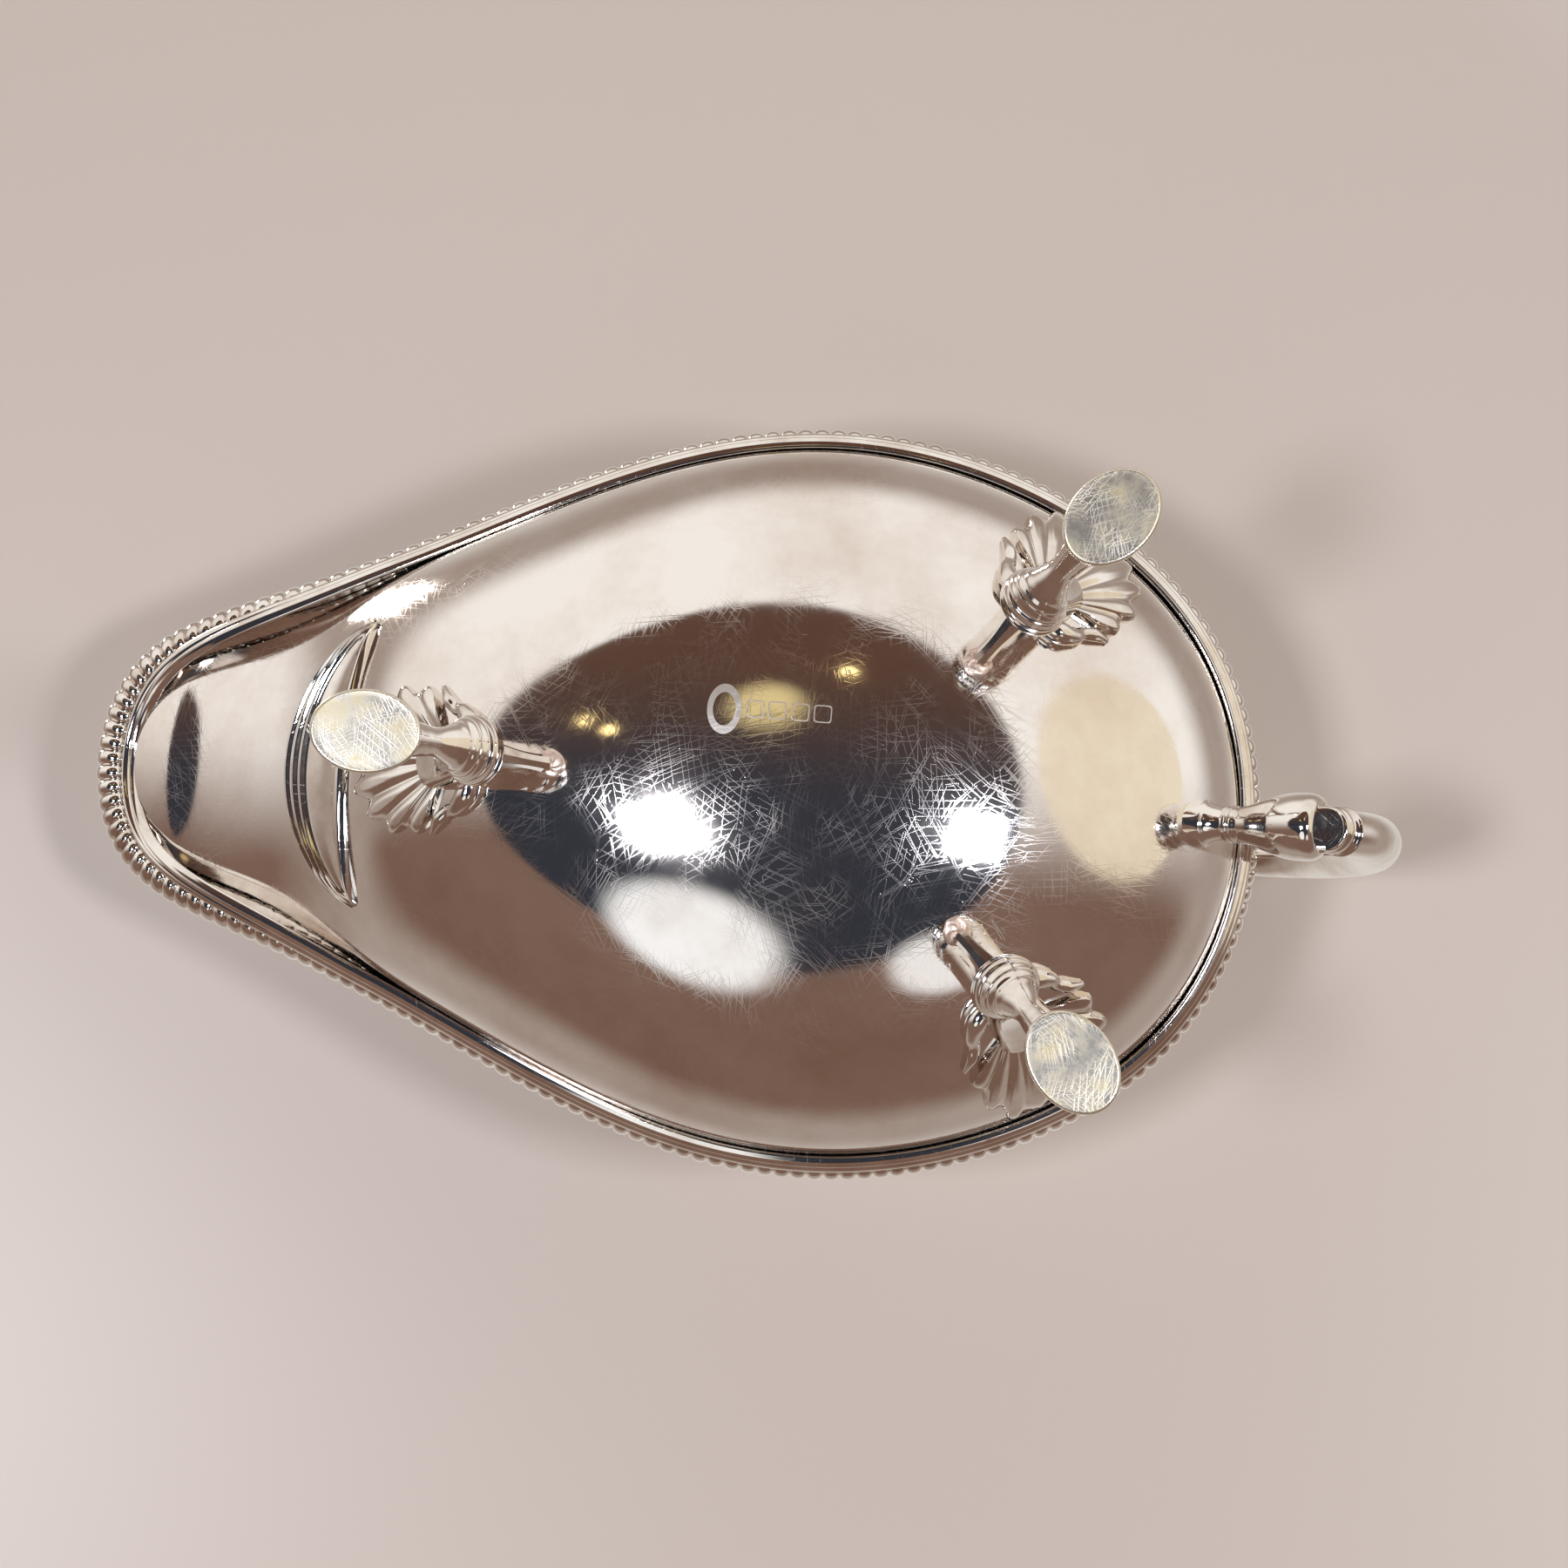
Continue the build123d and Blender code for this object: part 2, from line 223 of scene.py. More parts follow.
def scratch_layer(tree, place, patch_mm, apart_mm, width_mm):
    """Straight hairlines, side by side in one patch and turned another way in the next."""
    patch = add_node(tree, "ShaderNodeTexVoronoi", [("Vector", place), ("Scale", per_mm(patch_mm))])
    turn = add_node(tree, "ShaderNodeMath", [
        (0, patch.outputs["Color"]), (1, 4 * pi)], operation="MULTIPLY")
    turned = add_node(tree, "ShaderNodeVectorRotate", [
        ("Vector", place), ("Angle", turn.outputs[0])], rotation_type="Z_AXIS")
    across = add_node(tree, "ShaderNodeSeparateXYZ", [(0, turned.outputs[0])])
    lines = add_node(tree, "ShaderNodeTexVoronoi", voronoi_dimensions="1D")
    tree.links.new(across.outputs[1], lines.inputs["W"])
    lines.inputs["Scale"].default_value = per_mm(apart_mm)
    return add_node(tree, "ShaderNodeMapRange", [
        ("Value", lines.outputs["Distance"]), ("From Min", 0.0), ("From Max", width_mm / apart_mm),
        ("To Min", 1.0), ("To Max", 0.0)], clamp=True).outputs[0]


WEAR_MM = 7                         # size of the patches where scratches gather
SCRATCH_HAZE, PUNCH_HAZE = 0.14, 0.3
PUNCH_DEEP = 0.05


def silver(name, clean, dull, rough, clouds_mm, scratches, scratch_depth, punches=False):
    """Sterling silver: clean metal clouded by tarnish, with scratches too fine to polish out.

    Gives the eye a bright mirror that is hazier and a little warmer in cloudy patches.
    """
    material, tree, out = new_material(name)
    place = add_node(tree, "ShaderNodeTexCoord").outputs["Object"]
    cloud = add_node(tree, "ShaderNodeTexNoise", [
        ("Vector", place), ("Scale", per_mm(clouds_mm)), ("Detail", 5.0), ("Roughness", 0.62)])
    patches = add_node(tree, "ShaderNodeMapRange", [
        ("Value", cloud.outputs[0]), ("From Min", 0.42), ("From Max", 0.72)], clamp=True)
    tint = add_node(tree, "ShaderNodeMix", [
        ("Factor", patches.outputs[0]), (6, colour(clean)), (7, colour(dull))], data_type="RGBA")
    height = None
    for patch_mm, apart_mm, width_mm in scratches:
        line = scratch_layer(tree, place, patch_mm, apart_mm, width_mm)
        if height is None:
            height = line
        else:
            height = add_node(tree, "ShaderNodeMath", [
                (0, height), (1, line)], operation="MAXIMUM").outputs[0]
    haze = add_node(tree, "ShaderNodeMapRange", [
        ("Value", patches.outputs[0]), ("To Min", rough[0]), ("To Max", rough[1])])
    worn = add_node(tree, "ShaderNodeTexNoise", [
        ("Vector", place), ("Scale", per_mm(WEAR_MM)), ("Detail", 1.0)])
    strokes = add_node(tree, "ShaderNodeMapRange", [
        ("Value", worn.outputs[0]), ("From Min", 0.3), ("From Max", 0.62)], clamp=True)
    height = add_node(tree, "ShaderNodeMath", [
        (0, height), (1, strokes.outputs[0])], operation="MULTIPLY").outputs[0]
    rub = add_node(tree, "ShaderNodeMath", [(0, height), (1, SCRATCH_HAZE)], operation="MULTIPLY")
    rough_all = add_node(tree, "ShaderNodeMath", [(0, haze.outputs[0]), (1, rub.outputs[0])])
    marks = punch_marks(tree, place) if punches else None
    if punches:
        cut = add_node(tree, "ShaderNodeMath", [
            (0, marks), (1, PUNCH_HAZE)], operation="MULTIPLY")
        rough_all = add_node(tree, "ShaderNodeMath", [
            (0, rough_all.outputs[0]), (1, cut.outputs[0])])
    relief = add_node(tree, "ShaderNodeBump", [
        ("Strength", 1.0), ("Distance", scratch_depth * MM), ("Height", height)])
    if punches:
        relief = add_node(tree, "ShaderNodeBump", [
            ("Strength", 1.0), ("Distance", PUNCH_DEEP * MM), ("Height", marks),
            ("Normal", relief.outputs[0])], invert=True)
    metal = add_node(tree, "ShaderNodeBsdfPrincipled", [
        ("Base Color", tint.outputs[2]), ("Metallic", 1.0), ("Roughness", rough_all.outputs[0]),
        ("Normal", relief.outputs[0])])
    tree.links.new(metal.outputs[0], out.inputs[0])
    return material


# Blank punches under the bowl: place, half-width, half-height, and how square the corners are.
OVAL_PUNCH = (-2.7, -9.7, 2.4, 3.6, 2.0)
SQUARE_PUNCHES = [(x, -10.0, 1.3, 1.3, 6.0) for x in (1.8, 5.0, 8.4, 11.7)]
MARKS_BELOW = 30                    # height that all of the marked underside lies below


def punch_marks(tree, place):
    """A blank oval and four blank square punches under the bowl, each with a raised middle."""
    split = add_node(tree, "ShaderNodeSeparateXYZ", [(0, place)])
    total = None
    for x, y, wide, high, power in [OVAL_PUNCH] + SQUARE_PUNCHES:
        parts = []
        for axis, middle, half in ((0, x, wide), (1, y, high)):
            away = add_node(tree, "ShaderNodeMath", [
                (0, split.outputs[axis]), (1, middle * MM)], operation="SUBTRACT")
            part = add_node(tree, "ShaderNodeMath", [
                (0, away.outputs[0]), (1, half * MM)], operation="DIVIDE")
            size = add_node(tree, "ShaderNodeMath", [(0, part.outputs[0])], operation="ABSOLUTE")
            parts.append(add_node(tree, "ShaderNodeMath", [
                (0, size.outputs[0]), (1, power)], operation="POWER").outputs[0])
        edge = add_node(tree, "ShaderNodeMath", [(0, parts[0]), (1, parts[1])])
        ring = add_node(tree, "ShaderNodeMath", [
            (0, edge.outputs[0]), (1, 0.78), (2, 0.3)], operation="COMPARE").outputs[0]
        if total is None:
            total = ring
        else:
            total = add_node(tree, "ShaderNodeMath", [(0, total), (1, ring)]).outputs[0]
    underside = add_node(tree, "ShaderNodeMath", [
        (0, split.outputs[2]), (1, MARKS_BELOW * MM)], operation="LESS_THAN")
    return add_node(tree, "ShaderNodeMath", [
        (0, total), (1, underside.outputs[0])], operation="MULTIPLY").outputs[0]


# Hairlines are given as (patch, apart, width) in millimetres. Real ones are 0.01 to 0.02 mm wide,
# too fine to show, so all are drawn about 0.1 mm wide.
# Raised sterling silver, mirror polished: reflects the room, with hairline scratches all ways.
polished_sterling = silver(
    "polished_sterling", "F6F3F0", "DDD0C7", (0.055, 0.15), 30,
    ((9.0, 1.5, 0.09), (6.0, 1.1, 0.08), (13.0, 1.9, 0.1), (4.5, 1.4, 0.08)), 0.0022,
    punches=True)
# Cast sterling silver, hand polished: as bright on its high parts, hazier between them.
cast_sterling = silver(
    "cast_sterling", "F3EFEA", "D3C7BC", (0.045, 0.14), 9,
    ((5.0, 1.8, 0.08),), 0.0015)
# Undersides of the feet: scuffed on tables and yellowed, so pale and only half bright.
scuffed_sterling = silver(
    "scuffed_sterling", "EDE8DB", "CFC3A0", (0.27, 0.44), 5,
    ((5.0, 0.7, 0.08), (3.5, 0.6, 0.07), (8.0, 0.9, 0.09)), 0.009)
# Hard solder after heating: fire-stained copper pink, grainy and nearly matt.
fire_stained_solder = silver(
    "fire_stained_solder", "EAD8CC", "D0B8AA", (0.34, 0.55), 1.6,
    ((1.2, 0.6, 0.2),), 0.02)

# ---- bowl ----------------------------------------------------------------------------------
def bowl_place(u, v):
    x, y = rim_plan(2 * pi * u)
    out = sin(v * pi / 2)
    x, y = BELLY_X + (x - BELLY_X) * out, y * out
    return (x, y, rim_height(x) if v > 0.9999 else bowl_z(x, y))


bowl = sheet_piece("raised_bowl", 288, 120, bowl_place)
thicken(bowl, WALL)
finish_piece(smooth(bowl, 50), polished_sterling, "polished_silver", "bowl")


# ---- border and moulding -------------------------------------------------------------------
WALL_LEAN, LIP_LEAN = 3.0, 57.0     # degrees off upright at the sides, and how much more at the lip
FLARE_FROM = -55.0
LOBE_SPACING = 2.55
LOBE_MIDDLE, LOBE_TALL, LOBE_PROUD = 1.8, 2.58, 3.05   # down the wall, half-height, out from it


def rim_station(t):
    """Origin on the sheet's edge, the way out, the way down, and how far the wall leans."""
    x, y = rim_plan(t)
    dx = -(BACK - LIP) / 2 * sin(t)
    dy = sum((i + 1) * size * cos((i + 1) * t) for i, size in enumerate(BREADTH))
    dz = (rim_height(x + 0.01) - rim_height(x - 0.01)) / 0.02 * dx
    out = Vector((dy, -dx, 0)).normalized()
    down = Vector((dx, dy, dz)).normalized().cross(out)
    lean = min(1.0, max(0.0, (FLARE_FROM - x) / (FLARE_FROM - LIP))) ** 1.5
    return Vector((x, y, rim_height(x))), out, down, radians(WALL_LEAN + LIP_LEAN * lean)


def rim_point(t, down_wall, off):
    """Point so far down the wall from the edge, and so far off it."""
    origin, out, down, flare = rim_station(t)
    return (origin + out * (off * cos(flare) - down_wall * sin(flare))
            + down * (off * sin(flare) + down_wall * cos(flare)))


def rim_lengths(steps=720):
    """Distance round the rim up to each of many even angles."""
    total, lengths, last = 0.0, [0.0], Vector(rim_point(0, 0, 3))
    for i in range(1, steps + 1):
        here = Vector(rim_point(2 * pi * i / steps, 0, 3))
        total += (here - last).length
        lengths.append(total)
        last = here
    return lengths


RIM_LENGTHS = rim_lengths()
GADROONS = int(round(RIM_LENGTHS[-1] / LOBE_SPACING))


def angle_at(part):
    """Rim angle at a part of the way round, so that lobes are evenly spaced."""
    goal = part * RIM_LENGTHS[-1]
    low, high = 0, len(RIM_LENGTHS) - 1
    while high - low > 1:
        middle = (low + high) // 2
        if RIM_LENGTHS[middle] <= goal:
            low = middle
        else:
            high = middle
    span = RIM_LENGTHS[high] - RIM_LENGTHS[low]
    return 2 * pi * (low + (goal - RIM_LENGTHS[low]) / span) / (len(RIM_LENGTHS) - 1)


LOBE_STEPS = 8
ARC = 0.72                      # part of the section's outline that is the lobed face


def gadroon_place(u, v):
    f = (u * GADROONS) % 1.0
    lobe = sqrt(max(0.0, 1 - (2 * f - 1) ** 2))
    t = angle_at(min(1.0, u))
    if v < ARC:
        turn = pi * v / ARC
        full = 0.76 + 0.24 * lobe
        side = 1 if turn < pi / 2 else -1
        down = LOBE_MIDDLE - LOBE_TALL * side * abs(cos(turn)) ** 0.9 * (0.86 + 0.14 * lobe)
        return rim_point(t, down, LOBE_PROUD * sin(turn) ** 0.68 * full)
    back = ((4.2, -0.3), (2.0, -0.6), (0.2, -0.9), (-0.45, -1.1), (-0.7, -0.5), (-0.6, 0.0))
    at = curve_value(back, (v - ARC) / (1 - ARC) * (len(back) - 1))
    return rim_point(t, at[0], at[1])


gadroons = sheet_piece("gadroon_lobes", GADROONS * LOBE_STEPS, 20, gadroon_place)
finish_piece(smooth(gadroons, 62), cast_sterling, "cast_silver", "gadroon_border")

REED_SECTION = (
    (4.3, -0.3), (4.2, 1.3), (4.35, 1.85), (4.7, 2.06), (5.1, 1.98), (5.45, 1.72), (5.62, 1.45),
    (5.7, 1.36), (5.8, 1.42), (6.0, 1.36), (6.2, 1.16), (6.4, 0.88), (6.55, 0.5), (6.58, -0.3),
)


def reed_place(u, v):
    at = curve_value(REED_SECTION + REED_SECTION[:1], v * len(REED_SECTION))
    return rim_point(2 * pi * u, at[0], at[1])


reeds = sheet_piece("reeded_moulding", 300, 42, reed_place)
finish_piece(smooth(reeds, 55), cast_sterling, "cast_silver", "rim_moulding")


# ---- crescent drop under the lip -----------------------------------------------------------
def arc_x(y, middle):
    """X of the arc through both tips and a middle point, at a distance across."""
    bow = -56.5 - middle
    radius = (21.6**2 + bow**2) / (2 * bow)
    return middle + radius - sqrt(max(0.0, radius**2 - y**2))


CRESCENT_SECTION = (
    (0.0, -0.4), (0.03, 0.7), (0.08, 1.5), (0.14, 1.0), (0.2, 1.5), (0.26, 0.9), (0.31, 1.3),
    (0.38, 0.55), (0.55, 0.25), (0.7, 0.3), (0.79, 0.5), (0.86, 1.2),
    (0.93, 1.25), (0.98, 0.5), (1.0, -0.4),
)


def crescent_place(u, v):
    y = -21.5 * cos(pi * u)
    front, back = arc_x(y, -69.5), arc_x(y, -59.0)
    at, proud = curve_value(CRESCENT_SECTION, v * (len(CRESCENT_SECTION) - 1))
    taper = 0.35 + 0.65 * smoothstep(sin(pi * u) * 1.6)
    return on_bowl(front + (back - front) * at, y, proud * (taper if proud > 0 else 1))


crescent = sheet_piece("throat_crescent", 72, 84, crescent_place)
thicken(crescent, 0.5)
finish_piece(smooth(crescent, 60), cast_sterling, "cast_silver", "lip_drop")

# ---- feet ----------------------------------------------------------------------------------
FEET = (   # name, X, Y, and the way the foot faces in degrees
    ("front", -52.25, 0.0, 180.0), ("rear_left", 50.0, 38.5, 49.0),
    ("rear_right", 50.0, -38.5, -49.0),
)
SOLE_LONG, SOLE_WIDE, SOLE_THICK = 7.9, 6.0, 1.5
SHELL_TURN = 118.0                  # degrees of the fan to each side
DISC_OUT, DISC_RADIUS, DISC_PROUD = -24.7, 2.45, 0.42
LEG = (   # outwards, up, half-width, half-thickness, lean
    (-0.8, 1.45, 4.0, 4.6, 0), (-1.6, 2.2, 3.0, 3.0, -20), (-3.2, 3.8, 2.5, 2.4, -42),
    (-5.4, 5.6, 2.75, 2.6, -50), (-7.6, 7.4, 2.35, 2.25, -52), (-9.4, 9.0, 2.15, 2.1, -52),
    (-11.2, 11.2, 3.0, 2.9, -48), (-13.0, 14.2, 4.5, 4.1, -40), (-14.2, 18.2, 5.0, 4.3, -15),
    (-13.6, 24.0, 4.6, 3.7, 12), (-11.2, 30.5, 4.4, 3.4, 28), (-7.4, 37.5, 4.6, 3.3, 28),
)
RIB_TURN = 26.0                 # degrees of the fan to each rib


def foot_point(foot, out, side, up):
    _, x, y, turn = foot
    c, s = cos(radians(turn)), sin(radians(turn))
    return Vector((x + out * c - side * s, y + out * s + side * c, up))


def kept_out(point, deep=MIDDLE_OF_WALL):
    """The same point, but no deeper than the middle of the bowl's wall."""
    return Vector((point.x, point.y, min(point.z, bowl_z(point.x, point.y) + deep)))


def sole_place(foot):
    def place(u, v):
        turn = 2 * pi * u
        rows = ((0.0, 1.5), (0.9, 1.5), (0.972, 1.38), (1.0, 0.95), (1.0, 0.55), (0.985, 0.22),
                (0.962, 0.06), (0.93, 0.0), (0.9, 0.05), (0.5, 0.02), (0.0, 0.02))
        out, up = curve_value(rows, v * (len(rows) - 1))
        out = min(1.0, max(0.0, out)) if 0.02 < v < 0.98 else 0.0
        up = max(0.0, min(SOLE_THICK, up))
        return foot_point(foot, SOLE_LONG * out * cos(turn), SOLE_WIDE * out * sin(turn), up)
    return place


def leg_section(foot):
    def section(v):
        at = v * (len(LEG) - 1)
        out, up, wide, thick, lean = curve_value(LEG, at)
        knee = smoothstep((at - 6.0) * 1.5) * (1 - smoothstep((at - 8.6) * 1.5))
        rib = 1 + 0.08 * knee * (abs(sin(pi * (at - 6.0) * 2.1)) - 0.6)
        c, s = cos(radians(lean)), sin(radians(lean))
        centre = foot_point(foot, out, 0, up)
        across = foot_point(foot, out, wide * rib, up) - centre
        through = foot_point(foot, out - thick * rib * c, 0, up + thick * rib * s) - centre
        return centre, across, through
    return section


def shell_place(foot):
    def outline(turn):
        near = ((turn + 13.0) % RIB_TURN) / RIB_TURN - 0.5
        bump = 0.5 + 0.5 * cos(2 * pi * near)
        a = radians(turn)
        return (-3.5 + (8.2 + 1.3 * bump) * cos(a), (10.2 + 1.3 * bump) * sin(a)), bump

    def place(u, v):
        turn = -SHELL_TURN + 2 * SHELL_TURN * u
        (out, side), bump = outline(turn)
        reach = 1.0
        while reach > 0.4:
            tip = foot_point(foot, -10.0 + (out + 10.0) * reach, side * reach, 0)
            if bowl_z(tip.x, tip.y) < 52.0:
                break
            reach -= 0.02
        part = v * reach
        at = foot_point(foot, -10.0 + (out + 10.0) * part, side * part, 0)
        rise = 0.55 + 0.9 * smoothstep(v * 1.3)
        rib = (0.25 + 0.65 * v) * (bump**0.7 - 0.5)
        end = sqrt(max(0.0, 1 - max(0.0, (v - 0.84) / 0.16) ** 2))
        proud = (rise + rib * 0.9) * end - 0.35 * (1 - end)
        edge = min(1.0, (SHELL_TURN - abs(turn)) / 4.0)
        return on_bowl(at.x, at.y, min(1.58, proud * edge - 0.35 * (1 - edge)))
    return place


def curl_section(foot, side):
    path = (   # outwards, aside, thickness, and how far proud of the wall
        (-13.6, 3.4, 1.6, 2.6), (-13.0, 5.4, 1.75, 2.6), (-11.6, 7.0, 1.35, 1.9),
        (-10.2, 7.6, 1.0, 1.4), (-9.0, 8.9, 1.05, 1.5), (-7.9, 10.9, 0.45, 0.8))

    def section(v):
        out, wide, thick, proud = curve_value(path, v * (len(path) - 1))
        ahead = curve_value(path, min(len(path) - 1, v * (len(path) - 1) + 0.05))
        back = curve_value(path, max(0, v * (len(path) - 1) - 0.05))
        here = foot_point(foot, out, side * wide, 0)
        way = (foot_point(foot, ahead[0], side * ahead[1], 0)
               - foot_point(foot, back[0], side * back[1], 0))
        centre = on_bowl(here.x, here.y, proud * 0.5)
        up = (on_bowl(here.x, here.y, 1.0) - on_bowl(here.x, here.y, 0.0)).normalized()
        across = way.cross(up).normalized()
        return centre, across * thick, up * thick
    return section


def disc_place(foot):
    middle = foot_point(foot, DISC_OUT, 0, 0)

    def place(u, v):
        turn = 2 * pi * u
        ragged = DISC_RADIUS + 0.1 * sin(3 * turn + 1) + 0.05 * sin(7 * turn)
        out = ragged * v
        lump = DISC_PROUD * (1 - v**4) + 0.08 * sin(5 * turn + 9 * v) * v * (1 - v) * 4 - 0.3 * v**6
        return on_bowl(middle.x + out * cos(turn), middle.y + out * sin(turn), min(0.78, lump))
    return place


def stay_section(foot):
    start, end = (-15.4, 18.2), (-25.2, 31.0)

    def section(v):
        out = start[0] + (end[0] - start[0]) * v
        up = start[1] + (end[1] - start[1]) * v
        thick = 1.95 - 0.75 * smoothstep(v * 1.6) + 0.3 * smoothstep((v - 0.7) * 3.4)
        centre = foot_point(foot, out, 0, up)
        across = foot_point(foot, out, thick, up) - centre
        slope = Vector((end[1] - start[1], -(end[0] - start[0]))).normalized()
        through = foot_point(foot, out + slope.x * thick, 0, up + slope.y * thick) - centre
        return centre, across, through
    return section


def settled(piece, deep=MIDDLE_OF_WALL):
    """Stops a piece's inner end in the middle of the bowl's wall."""
    for vertex in piece.data.vertices:
        vertex.co = kept_out(vertex.co / MM, deep) * MM
    return piece


def joined(*pieces):
    """Several meshes as one piece, named for the first."""
    bpy.ops.object.select_all(action="DESELECT")
    for piece in pieces:
        piece.select_set(True)
    bpy.context.view_layer.objects.active = pieces[0]
    bpy.ops.object.join()
    return pieces[0]


for foot in FEET:
    name = foot[0]
    sole = sheet_piece(f"foot_sole_{name}", 72, 30, sole_place(foot))
    finish_piece(smooth(sole, 50), scuffed_sterling, "worn_silver", f"foot_pad_{name}")

    leg = settled(swept_piece(f"cast_leg_{name}", 48, 150, leg_section(foot)))
    curls = [swept_piece(f"curl_{name}_{side}", 14, 40, curl_section(foot, side))
             for side in (-1, 1)]
    finish_piece(smooth(joined(leg, *curls), 50), cast_sterling, "cast_silver", f"leg_{name}")

    shell = sheet_piece(f"scallop_{name}", 108, 30, shell_place(foot))
    thicken(shell, 0.5)
    finish_piece(smooth(shell, 60), cast_sterling, "cast_silver", f"shell_{name}")

    disc = sheet_piece(f"solder_disc_{name}", 40, 12, disc_place(foot))
    finish_piece(smooth(disc, 60), fire_stained_solder, "solder", f"stay_disc_{name}")

    stay = settled(swept_piece(f"stay_rod_{name}", 8, 24, stay_section(foot)), 0.3)
    finish_piece(smooth(stay, 30), cast_sterling, "cast_silver", f"stay_{name}")


# ---- handle --------------------------------------------------------------------------------
def turned_piece(name, start, tilt, profile, rows):
    """A body turned about an arm that leaves `start` in the XZ plane at a tilt."""
    c, s = cos(radians(tilt)), sin(radians(tilt))

    def place(u, v):
        along, radius = curve_value(profile, v * (len(profile) - 1))
        turn = 2 * pi * u
        radius = max(0.0, radius)
        return Vector((start[0] + along * c - radius * cos(turn) * s, radius * sin(turn),
                       start[1] + along * s + radius * cos(turn) * c))
    return sheet_piece(name, 64, rows, place)


ARM, ARM_TILT = (65.6, 45.2), -28.0
socket = turned_piece("turned_socket", ARM, ARM_TILT, (
    (0.0, 0.0), (0.0, 3.5), (0.15, 3.66), (3.0, 3.66), (5.2, 3.6), (5.6, 3.45), (6.0, 3.15),
    (7.0, 2.85), (8.4, 2.65), (9.6, 2.62), (9.62, 0.0)), 66)
# The socket's inner end slides along the arm until it is out of the bowl's hollow.
FLANGE_DEEP, ARM_CLEAR = 0.9, 76
for vertex in socket.data.vertices:
    along = Vector((cos(radians(ARM_TILT)), 0, sin(radians(ARM_TILT)))) * MM * 0.1
    while (vertex.co.x < ARM_CLEAR * MM
           and vertex.co.z / MM > bowl_z(vertex.co.x / MM, vertex.co.y / MM) + FLANGE_DEEP):
        vertex.co += along
finish_piece(smooth(socket, 40), cast_sterling, "cast_silver", "handle_socket")

bell = turned_piece("turned_bell", ARM, ARM_TILT, (
    (9.6, 0.0), (9.6, 2.62), (11.2, 2.72), (13.2, 3.2), (15.2, 3.95), (17.2, 4.62), (19.4, 5.02),
    (21.6, 5.07), (22.6, 4.92), (23.2, 4.62), (23.6, 4.2), (23.75, 3.8), (23.7, 3.2),
    (23.6, 0.0)), 90)
finish_piece(smooth(bell, 45), cast_sterling, "cast_silver", "handle_bell")

collar = turned_piece("turned_collar", (88.0, 36.2), 52.0, (
    (-0.6, 0.0), (-0.6, 2.9), (0.0, 3.35), (0.5, 3.62), (1.0, 3.62), (1.5, 3.35), (1.9, 2.9),
    (2.3, 2.75), (2.7, 2.95), (3.1, 3.35), (3.6, 3.5), (3.6, 0.0)), 72)
finish_piece(smooth(collar, 45), cast_sterling, "cast_silver", "handle_collar")

SCROLL = (   # X, Z and radius along the free scroll
    (90.2, 39.0, 3.3), (94.7, 44.6, 3.65), (97.2, 53.0, 3.9), (97.7, 64.0, 3.95),
    (95.6, 76.0, 3.85), (90.6, 87.6, 3.55), (83.6, 95.0, 3.25), (75.8, 97.3, 2.95),
    (69.4, 94.0, 2.65), (68.2, 87.4, 2.35), (72.6, 84.6, 2.05),
)


def scroll_section(v):
    at = v * (len(SCROLL) - 1)
    x, z, radius = curve_value(SCROLL, at)
    ahead = curve_value(SCROLL, min(len(SCROLL) - 1, at + 0.02))
    back = curve_value(SCROLL, max(0.0, at - 0.02))
    way = Vector((ahead[0] - back[0], 0, ahead[1] - back[1])).normalized()
    return Vector((x, 0, z)), Vector((0, radius, 0)), Vector((-way.z, 0, way.x)) * radius


scroll = swept_piece("free_scroll", 48, 160, scroll_section)
finish_piece(smooth(scroll, 50), cast_sterling, "cast_silver", "handle_scroll")

bead = turned_piece("curl_bead", (74.2, 84.6), 0.0, tuple(
    (-2.85 * cos(pi * i / 12), 2.85 * sin(pi * i / 12)) for i in range(13)), 32)
finish_piece(smooth(bead, 60), cast_sterling, "cast_silver", "scroll_bead")

# ---- studio --------------------------------------------------------------------------------
def stage_plane(name, z, size, faces_down):
    """A flat sheet at a height, facing up or down, that only camera rays see; stage_material paints
    it and clears its back.
    """
    bpy.ops.object.select_all(action="DESELECT")
    bpy.ops.mesh.primitive_grid_add(x_subdivisions=8, y_subdivisions=8, size=size)
    plane = bpy.context.object
    plane.name = name
    for vertex in plane.data.vertices:
        vertex.co.z = z
    if faces_down:
        bpy.ops.object.mode_set(mode="EDIT")
        bpy.ops.mesh.select_all(action="SELECT")
        bpy.ops.mesh.flip_normals()
        bpy.ops.object.mode_set(mode="OBJECT")
    for flag in ("visible_glossy", "visible_diffuse", "visible_transmission", "visible_shadow"):
        setattr(plane, flag, False)
    return plane


def stage_material(name, code, rough, fade=None):
    """Plain pale paint on the front, nothing on the back; fade is two radii in metres."""
    material, tree, out = new_material(name)
    paint = add_node(tree, "ShaderNodeBsdfPrincipled", [
        ("Base Color", colour(code)), ("Roughness", rough)])
    clear = add_node(tree, "ShaderNodeBsdfTransparent")
    hide = add_node(tree, "ShaderNodeNewGeometry").outputs["Backfacing"]
    if fade:
        place = add_node(tree, "ShaderNodeTexCoord").outputs["Object"]
        flat = add_node(tree, "ShaderNodeVectorMath", [
            (0, place), (1, (1.0, 1.0, 0.0))], operation="MULTIPLY")
        away = add_node(tree, "ShaderNodeVectorMath", [(0, flat.outputs[0])], operation="LENGTH")
        edge = add_node(tree, "ShaderNodeMapRange", [
            ("Value", away.outputs["Value"]), ("From Min", fade[0]), ("From Max", fade[1])],
            clamp=True)
        hide = add_node(tree, "ShaderNodeMath", [
            (0, hide), (1, edge.outputs[0])], operation="MAXIMUM").outputs[0]
    both = add_node(tree, "ShaderNodeMixShader", [
        (0, hide), (1, paint.outputs[0]), (2, clear.outputs[0])])
    tree.links.new(both.outputs[0], out.inputs[0])
    return material


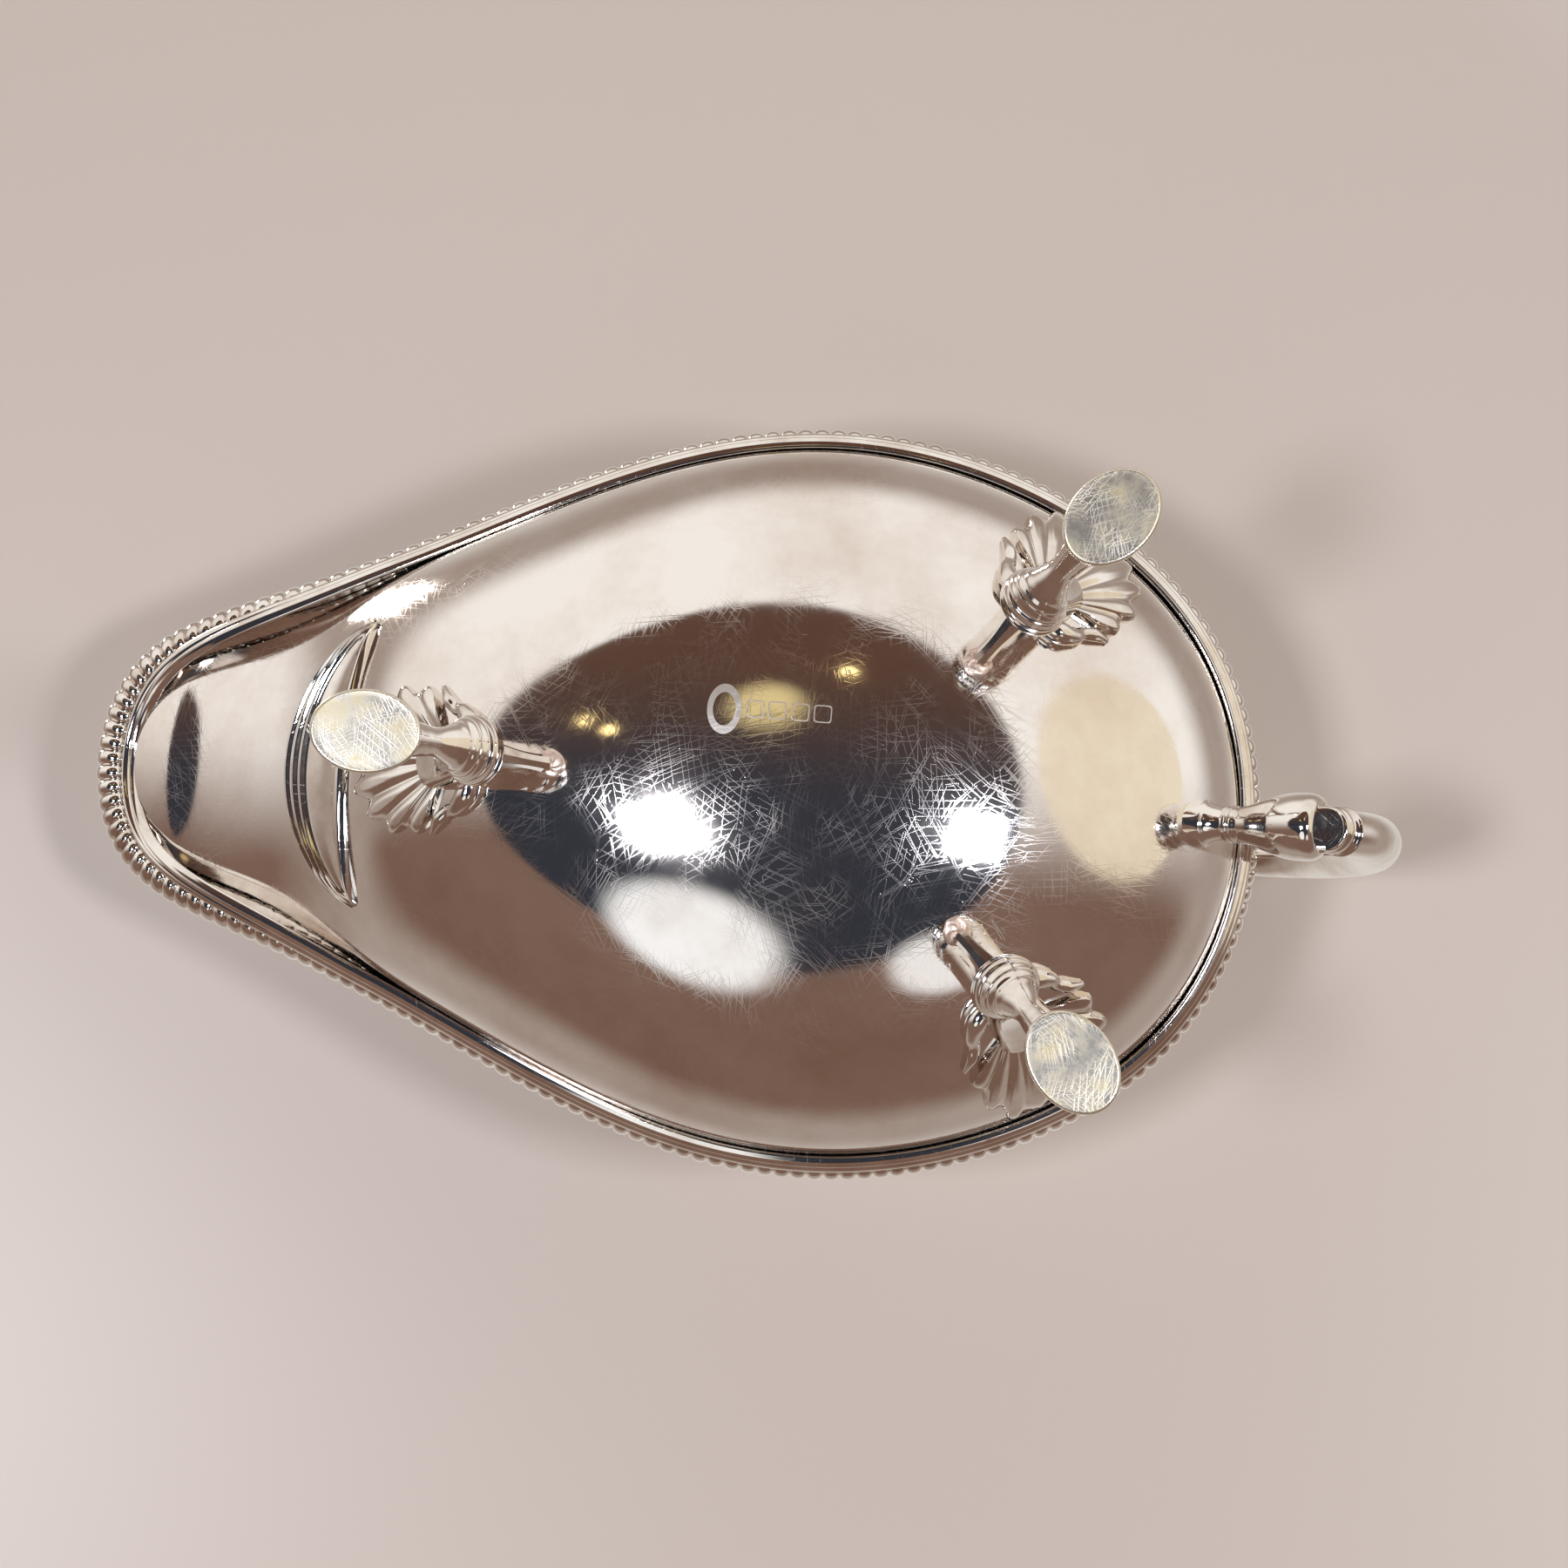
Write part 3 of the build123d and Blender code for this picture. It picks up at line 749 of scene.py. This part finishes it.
# The floor under the feet shows from above. The sheet over the rim shows from below, as the
# surface the boat lies on when it is rim down.
RIM_DOWN = 0.1012
ground = stage_plane("stage_floor", 0.0, 6.0, False)
ground.data.materials.append(stage_material("matt_pale_floor", "CFC8C0", 0.6))
table = stage_plane("stage_table", RIM_DOWN, 0.9, True)
table.data.materials.append(stage_material("satin_pale_table", "CFC3B9", 0.35, (0.18, 0.26)))


def soft_light(name, at, target, size, power, code):
    """A square softbox at a place, facing a point."""
    lamp = bpy.data.lights.new(name, "AREA")
    lamp.shape, lamp.size, lamp.energy = "SQUARE", size, power
    lamp.color = colour(code)[:3]
    holder = bpy.data.objects.new(name, lamp)
    bpy.context.scene.collection.objects.link(holder)
    holder.location = at
    holder.rotation_euler = (Vector(target) - Vector(at)).to_track_quat("-Z", "Y").to_euler()
    holder.visible_camera = False
    return holder


# Two small softboxes below, which show as bright squares in the belly, one overhead that only
# fills, and a small one to the side.
BELOW = 1.2                         # metres from the table's level down to the lower softboxes
BELLY, MIDDLE = (0, 0, 0.03), (0, 0, 0.05)
for name, aside, beyond in (("softbox_left", -0.37, 0.156), ("softbox_right", 0.57, 0.075)):
    soft_light(name, (aside * BELOW, beyond * BELOW, -BELOW), BELLY, 0.21, 7.0, "F4F6FF")
over = soft_light("softbox_over", (0.2, -0.5, 1.5), MIDDLE, 1.2, 16.0, "FFFFFF")
over.visible_glossy = False
soft_light("softbox_side", (-0.9, -0.8, 0.75), MIDDLE, 0.22, 6.0, "FFF9F2")

# The room round the boat: a white card beyond it, a dim warm side nearer, a dark room below.
world = bpy.data.worlds.new("studio_room")
bpy.context.scene.world = world
world.use_nodes = True
room = world.node_tree
room.nodes.clear()
way = add_node(room, "ShaderNodeTexCoord").outputs["Generated"]
axes = add_node(room, "ShaderNodeSeparateXYZ", [(0, way)])


def ramp(value, low, high):
    return add_node(room, "ShaderNodeMapRange", [
        ("Value", value), ("From Min", low), ("From Max", high)],
        clamp=True, interpolation_type="SMOOTHSTEP").outputs[0]


def toward(direction, low, high):
    """1 close to a direction, 0 away from it, by the cosine between them."""
    near = add_node(room, "ShaderNodeVectorMath", [
        (0, way), (1, Vector(direction).normalized()[:])], operation="DOT_PRODUCT")
    return ramp(near.outputs["Value"], low, high)


def blend(factor, first, second):
    return add_node(room, "ShaderNodeMix", [
        ("Factor", factor), (6, first), (7, second)], data_type="RGBA").outputs[2]


# White card to one side and warm brown to the other, then the walls and a pale ceiling.
tone = blend(ramp(axes.outputs[1], -0.30, 0.30), colour("FBF5EF"), colour("7E6457"))
tone = blend(ramp(axes.outputs[2], 0.0, 0.35), tone, colour("A99A90"))
tone = blend(ramp(axes.outputs[2], 0.5, 0.95), tone, colour("DAD3CD"))
# A cream patch by the handle, and the dark room that fills the middle of the belly.
tone = blend(toward((0.86, -0.22, -0.46), 0.92, 0.928), tone, colour("F0E2CA"))
dark = blend(ramp(axes.outputs[1], -0.62, 0.05), colour("5E4438"), colour("34363E"))
tone = blend(toward((-0.15, -0.06, -0.98), 0.705, 0.73), tone, dark)
# Two white cards at the edge of the dark, a yellow lamp's haze and three small bulbs.
tone = blend(toward((-0.25, 0.56, -0.78), 0.962, 0.985), tone, colour("FFFFFF"))
tone = blend(toward((0.40, 0.55, -0.73), 0.985, 0.995), tone, colour("F4F0EE"))
tone = blend(toward((-0.09, -0.36, -0.93), 0.993, 0.9995), tone, (0.75, 0.60, 0.30, 1.0))
for spot in ((0.10, -0.50, -0.86), (-0.46, -0.25, -0.85), (-0.52, -0.29, -0.80)):
    tone = blend(toward(spot, 0.9997, 0.9999), tone, (3.0, 2.3, 1.0, 1.0))
backdrop = add_node(room, "ShaderNodeBackground", [("Color", tone), ("Strength", 1.0)])
add_node(room, "ShaderNodeOutputWorld", [("Surface", backdrop.outputs[0])])

# ---- camera: below the standing boat, so that it is seen as when it lies rim down ----------
AIM, DISTANCE, LEAN, ROLL = Vector((0.00685, 0.00285, 0.0)), 0.620, radians(5.1), radians(4.5)
back = Vector((0, sin(LEAN), -cos(LEAN)))
level = back.cross(Vector((1, 0, 0)))
right = Vector((1, 0, 0)) * cos(ROLL) + level * sin(ROLL)
up = back.cross(right)
lens = bpy.data.cameras.new("camera")
lens.lens, lens.sensor_width, lens.clip_start = 101.7, 36.0, 0.01
camera = bpy.data.objects.new("camera", lens)
bpy.context.scene.collection.objects.link(camera)
turned = Matrix((right, up, back)).transposed().to_4x4()
camera.matrix_world = Matrix.Translation(AIM + back * DISTANCE) @ turned
bpy.context.scene.camera = camera
bpy.context.scene.view_settings.view_transform = "Standard"
